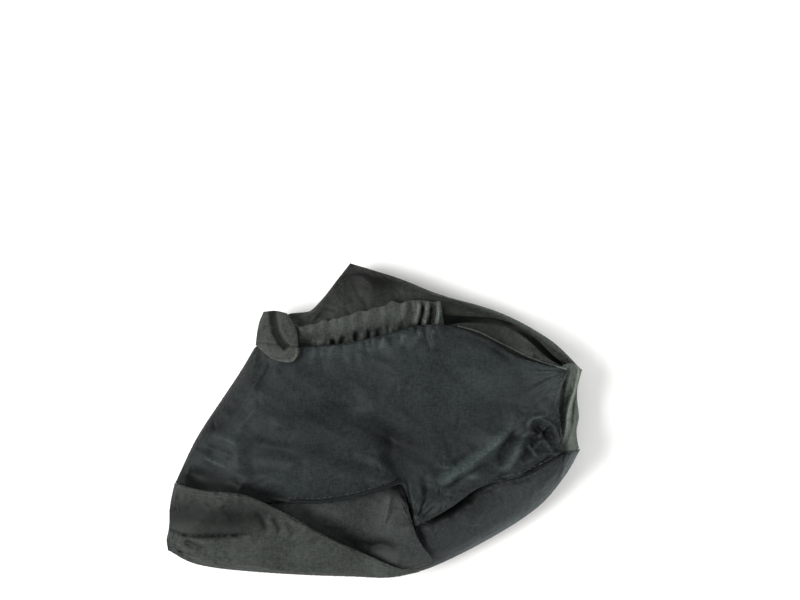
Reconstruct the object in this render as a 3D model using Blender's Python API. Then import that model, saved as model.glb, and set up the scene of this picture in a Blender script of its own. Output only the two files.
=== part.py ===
import math

import bmesh
import bpy
import numpy as np
from mathutils import Vector
from mathutils.bvhtree import BVHTree
from mathutils.geometry import delaunay_2d_cdt

# An inflatable elizabethan collar for a dog or cat, let down and folded flat.
# It lies on its under sleeve: +X to the right, +Y to the peak, +Z up.
# Each ply is laid on the pile of the plies before it and drapes over them.

# Driving sizes, in metres
PACK_LENGTH = 0.1784        # folded collar, left end to right tip
PACK_DEPTH = 0.1342         # folded collar, front hem to peak
PLY_GAP = 0.0005            # air between two plies that lie on each other

UNDER_THICK = 0.0080        # each folded sleeve holds the flat bladder
BACK_THICK = 0.0055
BACK_RIM_THICK = 0.0036
NECK_WALL_THICK = 0.0028
RIGHT_TUCK_THICK = 0.0034
OUTER_ROLL_THICK = 0.0078
MIDDLE_THICK = 0.0040
FRONT_THICK = 0.0062
TAB_THICK = 0.0019
FLAP_THICK = 0.0040

SOLE_RISE = 0.0008          # how far the underside lifts off the ground outside its flat sole
SOLE_REACH = 0.0120         # distance over which it does so
UNDER_INSET = 0.0026        # how far the hidden plies stay inside the outline
BACK_INSET = 0.0014
GATHER_CLOTH = 0.0012       # cloth of the gathered neck edge
PLEAT_RISE = 0.0032         # height of the tallest pleat at its free edge
WELT_RADIUS = 0.0006        # sewn welt along the front sleeve's rim
WELT_INSET = 0.0014         # how far the welt sits inside that rim

BIG_ROLL = 0.0055           # radius over which a thick ply's edge rounds off
SMALL_ROLL = 0.0032         # the same for a thin ply
TAB_ROLL = 0.0016           # the same for the corner tab's flat hem
ROLL_EDGE = 0.0100          # the same for the outer roll
RIM_WALL = 0.20             # height of a ply's outermost edge, as a share of its thickness
DRAPE_SLOPE = 0.85          # steepest fall of a ply that drapes off an edge below it

COARSE_CELL = 0.0090        # spacing of mesh points on a hidden ply
FINE_CELL = 0.0056          # the same on a ply that shows
RIM_SHARE = 0.80            # spacing along an outline, as a share of that
RING_SHARES = (0.16, 0.50, 1.00)    # rings of points over a rounded edge, as shares of its radius
RING_CLEAR = 0.93           # share of its inset that a ring point keeps from every edge
ROW_SHARE = 0.87            # spacing of the rows of the staggered grid, as a share of its cell
GRID_CLEAR = 0.45           # gap between the rings and that grid, as a share of its cell
MERGE_DISTANCE = 0.000001   # points nearer than this are one point
CURVE_STEPS = 16            # steps in which a curve between two points is worked out
FIELD_STEP = 0.0010         # spacing at which the pile's height is measured
FIELD_BORDER = 0.0060       # how far that measuring goes past the outline
SOFTEN_ROUNDS = 8           # times that a drape is smoothed
LIFT_ROUNDS = 4             # times that a ply is lifted where it would touch the pile
LIFT_SHARE = 0.60           # share of the ply gap that such a lift restores
WELT_STEP = 0.0030          # spacing of points along the welt
SHARP_ANGLE = 60.0          # degrees, past which an edge of a ply is shaded sharp

# Folded edges: (share of the length from the left, share of the depth from the hem)
EDGES = {
    "top_rim": ((0.445, 1.000), (0.565, 0.950), (0.660, 0.900), (0.805, 0.842),
                (0.925, 0.755), (1.000, 0.660)),
    "right_end": ((1.000, 0.660), (0.988, 0.590), (0.994, 0.505), (0.986, 0.465), (0.994, 0.410)),
    "roll_rim": ((0.994, 0.410), (0.960, 0.325), (0.900, 0.225), (0.780, 0.120), (0.635, 0.025),
                 (0.560, 0.006)),
    "front_hem": ((0.560, 0.006), (0.495, 0.000), (0.280, 0.010), (0.085, 0.035), (0.005, 0.080)),
    "flap_end": ((0.005, 0.080), (0.000, 0.120), (0.010, 0.155), (0.010, 0.215), (0.025, 0.300)),
    "left_side": ((0.025, 0.300), (0.075, 0.440), (0.140, 0.572), (0.182, 0.655), (0.220, 0.740)),
    "tab_side": ((0.220, 0.740), (0.225, 0.805), (0.237, 0.845)),
    "tab_top": ((0.237, 0.845), (0.262, 0.851), (0.295, 0.840)),
    "notch": ((0.295, 0.840), (0.322, 0.842), (0.350, 0.845)),
    "peak_slope": ((0.350, 0.845), (0.385, 0.895), (0.410, 0.940), (0.445, 1.000)),
    "neck_seam": ((0.220, 0.740), (0.325, 0.735), (0.430, 0.745), (0.515, 0.770), (0.610, 0.803),
                  (0.685, 0.800), (0.770, 0.760), (0.850, 0.700), (0.965, 0.665)),
    "pinch": ((0.965, 0.665), (0.945, 0.595), (0.943, 0.525), (0.955, 0.410)),
    "roll_crease": ((0.955, 0.410), (0.910, 0.375), (0.840, 0.325), (0.755, 0.295),
                    (0.685, 0.230), (0.600, 0.165)),
    "v_edge": ((0.600, 0.165), (0.590, 0.230), (0.570, 0.305)),
    "rim_hem": ((0.570, 0.305), (0.495, 0.270), (0.395, 0.241), (0.285, 0.240)),
    "rim_under": ((0.285, 0.240), (0.150, 0.240), (0.060, 0.265), (0.025, 0.300)),
    "flap_fold": ((0.025, 0.300), (0.100, 0.280), (0.195, 0.273), (0.280, 0.220),
                  (0.420, 0.115), (0.565, 0.034), (0.615, 0.024)),
    "flap_tip": ((0.615, 0.024), (0.560, 0.006)),
    "back_under": ((0.994, 0.410), (0.870, 0.285), (0.640, 0.145), (0.350, 0.135),
                   (0.145, 0.280), (0.180, 0.530), (0.260, 0.740), (0.350, 0.845)),
    "back_inner": ((1.000, 0.660), (0.965, 0.672), (0.925, 0.712), (0.880, 0.770), (0.805, 0.820),
                   (0.705, 0.832), (0.600, 0.835), (0.480, 0.800), (0.300, 0.765), (0.272, 0.790),
                   (0.295, 0.840)),
    "wall_lip": ((0.645, 0.785), (0.705, 0.810), (0.805, 0.803), (0.860, 0.766),
                 (0.920, 0.695), (0.965, 0.665)),
    "wall_under": ((0.965, 0.665), (0.930, 0.610), (0.800, 0.680), (0.700, 0.735), (0.645, 0.785)),
    "tuck_under": ((0.994, 0.410), (0.965, 0.375), (0.920, 0.395), (0.915, 0.525), (0.925, 0.620),
                   (0.945, 0.672), (0.975, 0.685), (1.000, 0.660)),
    "roll_under": ((0.560, 0.006), (0.530, 0.050), (0.550, 0.120), (0.625, 0.245),
                   (0.815, 0.385), (0.994, 0.410)),
    "middle_edge": ((0.570, 0.310), (0.595, 0.175), (0.615, 0.110), (0.650, 0.055)),
    "middle_hem": ((0.650, 0.055), (0.590, 0.028), (0.450, 0.020), (0.280, 0.032), (0.120, 0.062),
                   (0.060, 0.130)),
    "middle_under": ((0.060, 0.130), (0.070, 0.210), (0.150, 0.290), (0.450, 0.350), (0.570, 0.310)),
    "tab_low": ((0.295, 0.840), (0.318, 0.795), (0.323, 0.745), (0.325, 0.705), (0.310, 0.684),
                (0.262, 0.695), (0.220, 0.740)),
    "gather_foot": ((0.275, 0.722), (0.430, 0.733), (0.515, 0.758), (0.610, 0.791), (0.672, 0.790)),
    "gather_top": ((0.282, 0.825), (0.330, 0.803), (0.420, 0.828), (0.510, 0.862), (0.590, 0.882),
                   (0.662, 0.874)),
}

# Corners of the flat sole on which the pack rests, clockwise
SOLE = ((0.150, 0.220), (0.510, 0.850), (0.890, 0.300))

# The folded edges that bound each ply, in clockwise order; each starts where the last one ends
OUTLINES = {
    "pack": ("top_rim", "right_end", "roll_rim", "front_hem", "flap_end", "left_side",
             "tab_side", "tab_top", "notch", "peak_slope"),
    "back_sleeve": ("peak_slope", "top_rim", "right_end", "back_under"),
    "back_rim": ("notch", "peak_slope", "top_rim", "back_inner"),
    "neck_wall": ("wall_lip", "wall_under"),
    "right_tuck": ("right_end", "tuck_under"),
    "outer_roll": ("roll_rim", "roll_under"),
    "middle_fold": ("middle_edge", "middle_hem", "middle_under"),
    "front_sleeve": ("neck_seam", "pinch", "roll_crease", "v_edge", "rim_hem", "rim_under",
                     "left_side"),
    "corner_tab": ("tab_side", "tab_top", "tab_low"),
    "end_flap": ("flap_fold", "flap_tip", "front_hem", "flap_end"),
}

# Pleats of the gathered edge: (place along it, half width along it, height), all as shares
PLEATS = ((0.06, 0.018, 0.20), (0.13, 0.026, 0.28), (0.20, 0.018, 0.22), (0.27, 0.024, 0.32),
          (0.34, 0.018, 0.26), (0.39, 0.026, 0.40), (0.47, 0.022, 0.34), (0.56, 0.036, 0.48),
          (0.65, 0.026, 0.34), (0.71, 0.034, 0.44), (0.79, 0.030, 0.36), (0.86, 0.018, 1.00),
          (0.91, 0.018, 0.85), (0.97, 0.020, 1.00))
PLEAT_STATIONS = 62         # mesh points along the gathered edge
PLEAT_ROWS = (0.0, 0.3, 0.6, 0.85, 1.0)     # mesh points across it, seam to free edge, as shares
PLEAT_FINENESS = 0.0001     # spacing at which its two edges are read

# Soft ridges and valleys: start and end in shares of the pack, then the width as a share of
# PACK_DEPTH and the rise as a share of the ply's own thickness
FOLDS = {
    "back_rim": ((0.455, 0.960, 0.640, 0.880, 0.037, 0.33),),
    "neck_wall": ((0.965, 0.665, 0.860, 0.740, 0.022, 0.50),),
    "right_tuck": ((0.985, 0.640, 0.965, 0.540, 0.016, 0.47),
                   (0.975, 0.520, 0.960, 0.430, 0.016, 0.38)),
    "outer_roll": ((0.660, 0.130, 0.930, 0.340, 0.075, 0.28),),
    "middle_fold": ((0.530, 0.270, 0.525, 0.130, 0.034, 0.40),
                    (0.470, 0.180, 0.560, 0.090, 0.045, -0.35)),
    "front_sleeve": ((0.330, 0.480, 0.560, 0.620, 0.195, 0.55),
                     (0.325, 0.565, 0.660, 0.375, 0.052, -0.32),
                     (0.530, 0.485, 0.575, 0.330, 0.045, -0.26),
                     (0.672, 0.256, 0.870, 0.480, 0.041, 0.35),
                     (0.945, 0.610, 0.840, 0.560, 0.037, 0.22),
                     (0.110, 0.430, 0.190, 0.600, 0.060, 0.26)),
    "corner_tab": ((0.258, 0.838, 0.291, 0.735, 0.012, -0.45),),
    "end_flap": ((0.015, 0.152, 0.200, 0.135, 0.040, -0.36),
                 (0.120, 0.215, 0.230, 0.190, 0.052, 0.35),
                 (0.210, 0.080, 0.420, 0.050, 0.075, 0.30)),
}

# Cloth colours in sRGB, 0 to 255
COLOURS = {
    "under_sleeve": (50, 54, 52),
    "back_sleeve": (55, 58, 54),
    "back_rim": (59, 61, 58),
    "neck_wall": (54, 57, 55),
    "right_tuck": (62, 65, 60),
    "outer_roll": (53, 57, 58),
    "middle_fold": (60, 64, 64),
    "neck_gathers": (66, 69, 66),
    "front_sleeve": (50, 55, 56),
    "rim_welt": (44, 48, 49),
    "corner_tab": (64, 66, 63),
    "end_flap": (64, 68, 66),
}
CLOTH_ROUGHNESS = 0.62


def place(share):
    """A point of the pack in metres, with the origin under the middle of its outline."""
    return np.array(((share[0] - 0.5) * PACK_LENGTH, (share[1] - 0.5) * PACK_DEPTH))


def smooth_edge(rows, step):
    """A Catmull-Rom curve through an edge's few points, spaced evenly, without its last point."""
    knots = [place(row) for row in rows]
    knots = [2 * knots[0] - knots[1]] + knots + [2 * knots[-1] - knots[-2]]
    dense = []
    for a, b, c, d in zip(knots, knots[1:], knots[2:], knots[3:]):
        for t in np.linspace(0.0, 1.0, CURVE_STEPS, endpoint=False):
            dense.append(0.5 * (2 * b + (c - a) * t + (2 * a - 5 * b + 4 * c - d) * t ** 2
                                + (3 * b - a - 3 * c + d) * t ** 3))
    dense.append(knots[-2])
    dense = np.array(dense)
    walked = np.concatenate(([0.0], np.cumsum(np.linalg.norm(np.diff(dense, axis=0), axis=1))))
    count = max(2, round(walked[-1] / step))
    stations = np.linspace(0.0, walked[-1], count, endpoint=False)
    return np.column_stack([np.interp(stations, walked, dense[:, k]) for k in (0, 1)])


def outline_of(name, step):
    """Chain a ply's edges, which run clockwise, into one closed, counter-clockwise loop."""
    return np.concatenate([smooth_edge(EDGES[edge], step) for edge in OUTLINES[name]])[::-1]


def distance_to(points, loop):
    """Distance from each point to a closed loop."""
    start = loop
    run = np.roll(loop, -1, axis=0) - start
    offset = points[:, None, :] - start[None]
    along = np.clip(np.sum(offset * run, axis=2) / np.sum(run * run, axis=1), 0.0, 1.0)
    return np.min(np.linalg.norm(offset - along[..., None] * run, axis=2), axis=1)


def inside(points, loop):
    """Whether each point lies inside a closed loop."""
    x0, y0 = loop[:, 0], loop[:, 1]
    x1, y1 = np.roll(x0, -1), np.roll(y0, -1)
    px, py = points[:, :1], points[:, 1:]
    spans = (y0 > py) != (y1 > py)
    rise = np.where(y1 == y0, 1.0, y1 - y0)
    crosses = spans & (px < (x1 - x0) * (py - y0) / rise + x0)
    return np.sum(crosses, axis=1) % 2 == 1


def inset_loop(loop, amount):
    """The loop moved inwards; points that would come nearer to it elsewhere are dropped."""
    ahead, behind = np.roll(loop, -1, axis=0), np.roll(loop, 1, axis=0)
    run = ahead - behind
    normal = np.column_stack((-run[:, 1], run[:, 0]))
    normal /= np.linalg.norm(normal, axis=1)[:, None]
    moved = loop + normal * amount
    keep = inside(moved, loop) & (distance_to(moved, loop) > RING_CLEAR * amount)
    return moved[keep]


def fill_outline(loop, edge_roll, cell, sole):
    """Points and triangles of a ply seen from above: outline, rings that round it, staggered grid."""
    low, high = loop.min(axis=0), loop.max(axis=0)
    rings = [inset_loop(loop, share * edge_roll) for share in RING_SHARES]
    rows = np.arange(low[1], high[1], cell * ROW_SHARE)
    grid = [(x + (index % 2) * cell / 2, y) for index, y in enumerate(rows)
            for x in np.arange(low[0], high[0], cell)]
    grid = np.array(grid)
    grid = grid[inside(grid, loop)]
    grid = grid[distance_to(grid, loop) > edge_roll + GRID_CLEAR * cell]
    if len(sole):
        grid = grid[distance_to(grid, sole) > GRID_CLEAR * cell]
    points = np.concatenate([sole, loop] + rings + [grid])
    creases = list(zip(range(len(sole)), np.roll(range(len(sole)), -1).tolist()))
    border = list(range(len(sole), len(sole) + len(loop)))
    corners, _, faces, *_ = delaunay_2d_cdt([Vector(p) for p in points], creases, [border], 1,
                                            MERGE_DISTANCE)
    return np.array([tuple(corner) for corner in corners]), [tuple(face) for face in faces]


class Pile:
    """The height of everything laid so far, measured on a square field."""

    def __init__(self):
        self.x = np.arange(-PACK_LENGTH / 2 - FIELD_BORDER, PACK_LENGTH / 2 + FIELD_BORDER, FIELD_STEP)
        self.y = np.arange(-PACK_DEPTH / 2 - FIELD_BORDER, PACK_DEPTH / 2 + FIELD_BORDER, FIELD_STEP)
        self.height = np.zeros((len(self.y), len(self.x)))

    def spread(self, height, fall):
        """Each spot takes the highest of its neighbours, less the fall on the way."""
        wide = np.pad(height, 1, mode="edge")
        rows, columns = height.shape
        result = height.copy()
        for row in range(3):
            for column in range(3):
                way = math.hypot(row - 1, column - 1) * FIELD_STEP
                result = np.maximum(result, wide[row:row + rows, column:column + columns] - fall * way)
        return result

    def soften(self, height):
        wide = np.pad(height, 1, mode="edge")
        rows, columns = height.shape
        return sum(wide[row:row + rows, column:column + columns]
                   for row in range(3) for column in range(3)) / 9

    def drape(self):
        """The surface that a soft ply takes when it is laid on the pile."""
        firm = self.spread(self.height, 0.0)
        draped = firm
        for _ in range(math.ceil(firm.max() / DRAPE_SLOPE / FIELD_STEP)):
            draped = self.spread(draped, DRAPE_SLOPE)
        for _ in range(SOFTEN_ROUNDS):
            draped = np.maximum(self.soften(draped), firm)
        return draped

    def sample(self, field, points):
        """Read a field between its measured spots."""
        column = (points[:, 0] - self.x[0]) / FIELD_STEP
        row = (points[:, 1] - self.y[0]) / FIELD_STEP
        c = np.clip(column.astype(int), 0, len(self.x) - 2)
        r = np.clip(row.astype(int), 0, len(self.y) - 2)
        u, v = column - c, row - r
        low = field[r, c] * (1 - u) + field[r, c + 1] * u
        high = field[r + 1, c] * (1 - u) + field[r + 1, c + 1] * u
        return low * (1 - v) + high * v

    def lift_clear(self, points, faces, bottom):
        """How far each point must rise so that the ply's underside clears the pile everywhere."""
        firm = self.spread(self.height, 0.0)
        low, high = points.min(axis=0) - FIELD_STEP, points.max(axis=0) + FIELD_STEP
        lift = np.zeros(len(points))
        for _ in range(LIFT_ROUNDS):
            corners = [(x, y, z) for (x, y), z in zip(points, bottom + lift)]
            tree = BVHTree.FromPolygons(corners, faces)
            more = np.zeros(len(points))
            for r in np.nonzero((self.y > low[1]) & (self.y < high[1]))[0]:
                for c in np.nonzero((self.x > low[0]) & (self.x < high[0]))[0]:
                    hit = tree.ray_cast(Vector((self.x[c], self.y[r], -1.0)), Vector((0, 0, 1)))
                    if hit[0] is None:
                        continue
                    need = firm[r, c] + LIFT_SHARE * PLY_GAP - hit[0].z
                    if firm[r, c] > 0 and need > 0:
                        touched = list(faces[hit[2]])
                        more[touched] = np.maximum(more[touched], need)
            lift += more
        return lift

    def add(self, points, faces, top):
        """Raise the pile to the top of a ply that has been laid."""
        corners = [(x, y, z) for (x, y), z in zip(points, top)]
        tree = BVHTree.FromPolygons(corners, faces)
        for r, y in enumerate(self.y):
            for c, x in enumerate(self.x):
                hit = tree.ray_cast(Vector((x, y, 1.0)), Vector((0, 0, -1)))
                if hit[0] is not None:
                    self.height[r, c] = max(self.height[r, c], hit[0].z)


def relief(name, points, thick):
    """Height that a ply's ridges and valleys add to its upper face."""
    rise = np.zeros(len(points))
    for x0, y0, x1, y1, width, height in FOLDS.get(name, ()):
        start, run = place((x0, y0)), place((x1, y1)) - place((x0, y0))
        offset = points - start
        along = np.clip(offset @ run / (run @ run), 0.0, 1.0)
        away = np.linalg.norm(offset - along[:, None] * run, axis=1)
        rise += height * thick * np.exp(-(away / (width * PACK_DEPTH)) ** 2)
    return rise


def cloth_material(name):
    """A plain woven cloth in the piece's own colour."""
    material = bpy.data.materials.new(name + "_cloth")
    material.use_nodes = True
    shader = material.node_tree.nodes["Principled BSDF"]
    linear = [((c / 255 + 0.055) / 1.055) ** 2.4 for c in COLOURS[name]]
    shader.inputs["Base Color"].default_value = (*linear, 1.0)
    shader.inputs["Roughness"].default_value = CLOTH_ROUGHNESS
    shader.inputs["Metallic"].default_value = 0.0
    return material


def solid_from(name, points, faces, top, bottom):
    """Close a ply: upper face, lower face and the narrow wall round its edge."""
    edges = {edge for face in faces for edge in zip(face, face[1:] + face[:1])}
    rim = sorted(edge for edge in edges if edge[::-1] not in edges)
    mesh = bpy.data.meshes.new(name)
    work = bmesh.new()
    upper = [work.verts.new((*p, z)) for p, z in zip(points, top)]
    lower = [work.verts.new((*p, z)) for p, z in zip(points, bottom)]
    for face in faces:
        work.faces.new([upper[i] for i in face])
        work.faces.new([lower[i] for i in reversed(face)])
    for a, b in rim:
        work.faces.new((lower[a], lower[b], upper[b], upper[a]))
    loose = [v for v in work.verts if not v.link_faces]
    bmesh.ops.delete(work, geom=loose, context="VERTS")
    bmesh.ops.triangulate(work, faces=work.faces[:])
    bmesh.ops.recalc_face_normals(work, faces=work.faces[:])
    work.to_mesh(mesh)
    work.free()
    mesh.shade_smooth()
    mesh.set_sharp_from_angle(angle=math.radians(SHARP_ANGLE))
    mesh.materials.append(cloth_material(name))
    item = bpy.data.objects.new(name, mesh)
    bpy.context.scene.collection.objects.link(item)


def lay_ply(pile, name, loop, thick, edge_roll, cell, sole=np.empty((0, 2))):
    """Lay one folded ply on the pile: it drapes, rounds off at its edge and takes its folds."""
    points, faces = fill_outline(loop, edge_roll, cell, sole)
    near = np.clip(distance_to(points, loop) / edge_roll, 0.0, 1.0)
    round_off = np.sqrt(1 - (1 - near) ** 2)
    fullness = RIM_WALL + (1 - RIM_WALL) * round_off
    rest = pile.sample(pile.drape(), points)
    rest = rest + np.where(rest > 0, PLY_GAP, 0.0)
    bottom = rest + thick * (1 - fullness) / 2
    top = rest + thick * (1 + fullness) / 2 + relief(name, points, thick) * round_off
    if len(sole):
        beyond = np.where(inside(points, sole), 0.0, distance_to(points, sole))
        bottom = bottom + SOLE_RISE * np.clip(beyond / SOLE_REACH, 0.0, 1.0)
    lift = pile.lift_clear(points, faces, bottom)
    solid_from(name, points, faces, top + lift, bottom + lift)
    pile.add(points, faces, top + lift)


def lay_gathers(pile):
    """The gathered neck edge: pleats that start flat at the seam and stand up at the free edge."""
    foot = smooth_edge(EDGES["gather_foot"], PLEAT_FINENESS)
    free = smooth_edge(EDGES["gather_top"], PLEAT_FINENESS)
    points, wave = [], []
    for station in range(PLEAT_STATIONS):
        along = station / (PLEAT_STATIONS - 1)
        a = foot[round(along * (len(foot) - 1))]
        b = free[round(along * (len(free) - 1))]
        crest = sum(height * math.exp(-((along - spot) / half) ** 2) for spot, half, height in PLEATS)
        for row in PLEAT_ROWS:
            points.append(a + (b - a) * row)
            wave.append(crest * math.sin(row * math.pi / 2))
    points, wave = np.array(points), np.array(wave)
    across = len(PLEAT_ROWS)
    faces = []
    for station in range(PLEAT_STATIONS - 1):
        for row in range(across - 1):
            i = station * across + row
            faces.append((i, i + across, i + across + 1))
            faces.append((i, i + across + 1, i + 1))
    rest = pile.sample(pile.drape(), points) + PLY_GAP
    bottom = rest + PLEAT_RISE * wave
    lift = pile.lift_clear(points, faces, bottom)
    top = bottom + lift + GATHER_CLOTH
    solid_from("neck_gathers", points, faces, top, bottom + lift)
    pile.add(points, faces, top)


def lay_welt(pile):
    """The thin sewn welt just inside the front sleeve's rim."""
    rim = smooth_edge(EDGES["rim_hem"], WELT_STEP)
    run = np.gradient(rim, axis=0)
    inward = np.column_stack((run[:, 1], -run[:, 0]))
    inward /= np.linalg.norm(inward, axis=1)[:, None]
    route = rim + inward * WELT_INSET
    firm = pile.spread(pile.spread(pile.height, 0.0), 0.0)
    z = pile.sample(firm, route) + WELT_RADIUS + PLY_GAP / 2
    curve = bpy.data.curves.new("rim_welt", "CURVE")
    curve.dimensions = "3D"
    curve.bevel_depth = WELT_RADIUS
    curve.bevel_resolution = 1
    curve.use_fill_caps = True
    spline = curve.splines.new("POLY")
    spline.points.add(len(route) - 1)
    for point, (x, y), height in zip(spline.points, route, z):
        point.co = (x, y, height, 1.0)
    curve.materials.append(cloth_material("rim_welt"))
    item = bpy.data.objects.new("rim_welt", curve)
    bpy.context.scene.collection.objects.link(item)


for item in list(bpy.data.objects):
    bpy.data.objects.remove(item, do_unlink=True)

pile = Pile()
hidden_step, fine_step = COARSE_CELL * RIM_SHARE, FINE_CELL * RIM_SHARE
under = inset_loop(outline_of("pack", hidden_step), UNDER_INSET)
back = inset_loop(outline_of("back_sleeve", hidden_step), BACK_INSET)
sole = np.array([place(corner) for corner in SOLE])
lay_ply(pile, "under_sleeve", under, UNDER_THICK, BIG_ROLL, COARSE_CELL, sole)
lay_ply(pile, "back_sleeve", back, BACK_THICK, BIG_ROLL, COARSE_CELL)
for name, thick, edge_roll in (
        ("back_rim", BACK_RIM_THICK, SMALL_ROLL),
        ("neck_wall", NECK_WALL_THICK, SMALL_ROLL),
        ("right_tuck", RIGHT_TUCK_THICK, SMALL_ROLL),
        ("outer_roll", OUTER_ROLL_THICK, ROLL_EDGE),
        ("middle_fold", MIDDLE_THICK, SMALL_ROLL)):
    lay_ply(pile, name, outline_of(name, fine_step), thick, edge_roll, FINE_CELL)
lay_gathers(pile)
lay_ply(pile, "front_sleeve", outline_of("front_sleeve", fine_step), FRONT_THICK, BIG_ROLL, FINE_CELL)
lay_welt(pile)
lay_ply(pile, "corner_tab", outline_of("corner_tab", fine_step), TAB_THICK, TAB_ROLL, FINE_CELL)
lay_ply(pile, "end_flap", outline_of("end_flap", fine_step), FLAP_THICK, SMALL_ROLL, FINE_CELL)
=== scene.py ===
import math

import bpy
import numpy as np
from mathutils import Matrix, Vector, noise
from mathutils.bvhtree import BVHTree


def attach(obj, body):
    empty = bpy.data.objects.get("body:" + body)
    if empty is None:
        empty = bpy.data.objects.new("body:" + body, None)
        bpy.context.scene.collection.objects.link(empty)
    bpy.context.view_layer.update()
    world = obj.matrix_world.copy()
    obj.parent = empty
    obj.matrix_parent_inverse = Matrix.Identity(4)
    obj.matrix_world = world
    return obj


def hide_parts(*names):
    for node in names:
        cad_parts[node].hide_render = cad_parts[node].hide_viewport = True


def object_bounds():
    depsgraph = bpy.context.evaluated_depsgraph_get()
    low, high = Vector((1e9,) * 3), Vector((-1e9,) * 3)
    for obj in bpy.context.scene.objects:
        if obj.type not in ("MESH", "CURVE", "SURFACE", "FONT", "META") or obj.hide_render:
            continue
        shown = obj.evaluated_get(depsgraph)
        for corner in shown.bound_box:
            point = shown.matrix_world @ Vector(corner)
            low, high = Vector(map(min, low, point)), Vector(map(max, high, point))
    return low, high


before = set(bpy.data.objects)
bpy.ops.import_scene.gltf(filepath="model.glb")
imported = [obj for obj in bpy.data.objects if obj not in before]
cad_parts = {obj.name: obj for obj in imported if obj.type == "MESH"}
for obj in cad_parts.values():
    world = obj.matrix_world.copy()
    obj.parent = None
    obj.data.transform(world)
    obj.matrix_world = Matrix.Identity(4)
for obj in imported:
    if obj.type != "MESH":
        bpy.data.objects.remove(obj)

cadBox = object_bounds()
perMetre = 1000     # millimetres

# The photo's frame: its own pixels, and what one of them measures on the folded collar
photo = {
    "width": 800,
    "height": 600,
    "metresPerPixel": 0.0004267,
    "left": 164.0,      # the collar's left edge
    "front": 577.5,     # its front hem
    "lens": 120.0,
    "sensor": 36.0,
    "nearest": 0.05,
    "focusHeight": 0.014,   # the scale holds at this height in the pile
}


def fromPhoto(x, y):
    # A pixel of the photo as a place on the table, measured from the collar's own corner
    scale = photo["metresPerPixel"]
    return cadBox[0][0] + (x - photo["left"]) * scale, cadBox[0][1] + (photo["front"] - y) * scale


# Small helpers

def choose(item):
    # Only this object is selected and active
    for other in bpy.context.selected_objects:
        other.select_set(False)
    item.select_set(True)
    bpy.context.view_layer.objects.active = item


def applyModifier(item, kind, **settings):
    choose(item)
    bpy.ops.object.modifier_add(type=kind)
    modifier = item.modifiers[-1]
    for key, value in settings.items():
        setattr(modifier, key, value)
    bpy.ops.object.modifier_apply(modifier=modifier.name)


def smoothShade(item, degrees=60):
    choose(item)
    bpy.ops.object.shade_smooth_by_angle(angle=math.radians(degrees))


def readVectors(rows, name):
    # The place, normal or middle of every vertex or face
    values = np.zeros(len(rows) * 3)
    rows.foreach_get(name, values)
    return values.reshape(-1, 3)


def readPoints(item):
    return readVectors(item.data.vertices, "co")


def writePoints(item, points):
    item.data.vertices.foreach_set("co", points.ravel())
    item.data.update()


def writeWeights(item, name, weights):
    # A named number on every vertex
    attribute = item.data.attributes.new(name, "FLOAT", "POINT")
    attribute.data.foreach_set("value", weights.astype(np.float32))


def linearColour(hexColour):
    # The usual screen curve, undone
    parts = [int(hexColour[i:i + 2], 16) / 255 for i in (1, 3, 5)]
    parts = [c / 12.92 if c <= 0.04045 else ((c + 0.055) / 1.055) ** 2.4 for c in parts]
    return tuple(parts) + (1.0,)


def addNode(tree, kind, settings=None, **links):
    # settings go on the node itself or, by number or name, on its sockets; links feed its sockets
    node = tree.nodes.new(kind)
    for key, value in (settings or {}).items():
        if isinstance(key, str) and hasattr(node, key):
            setattr(node, key, value)
        else:
            node.inputs[key].default_value = value
    for key, socket in links.items():
        place = int(key[1:]) if key[0] == "_" else key.replace("_", " ")
        tree.links.new(socket, node.inputs[place])
    return node


# Woven cloth, the finish of every ply

cloth = {
    "thread": 0.00070,      # drawn coarser than the real 0.25 mm yarn, so that the weave shows
    "yarnRun": 0.0022,      # how far a thicker or paler yarn is seen before it dips under
    "roughness": 0.56,
    "smoother": 0.08,       # what the darkest yarns take off the roughness
    "rougher": 0.10,        # what the palest ones add to it
    "specular": 0.11,
    "sheen": 0.022,
    "sheenRoughness": 0.45,
    "sheenTint": "#c4ccc8",
    "weaveDepth": 0.00004,
    "weaveStrength": 0.6,
    "weaveTone": 0.05,      # how much the grid shows in the colour
    "yarnTone": 0.80,       # and the single yarns
    "crumpleSize": 0.0036,
    "crumpleDepth": 0.00014,
    "crumpleStrength": 0.8,
    "cloudSize": 0.022,
    "toneLow": 0.90,        # grid, yarns and clouds added up run from here
    "toneHigh": 1.70,       # to here
    "dark": 0.38,
    "pale": 1.04,
}
crumpleGrain = {"Scale": 1 / cloth["crumpleSize"], "Detail": 4.0, "Roughness": 0.5,
                "Distortion": 0.8}
cloudGrain = {"Scale": 1 / cloth["cloudSize"], "Detail": 4.0, "Roughness": 0.6}
yarnGrain = {"Scale": 1.0, "Detail": 1.0}


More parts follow.
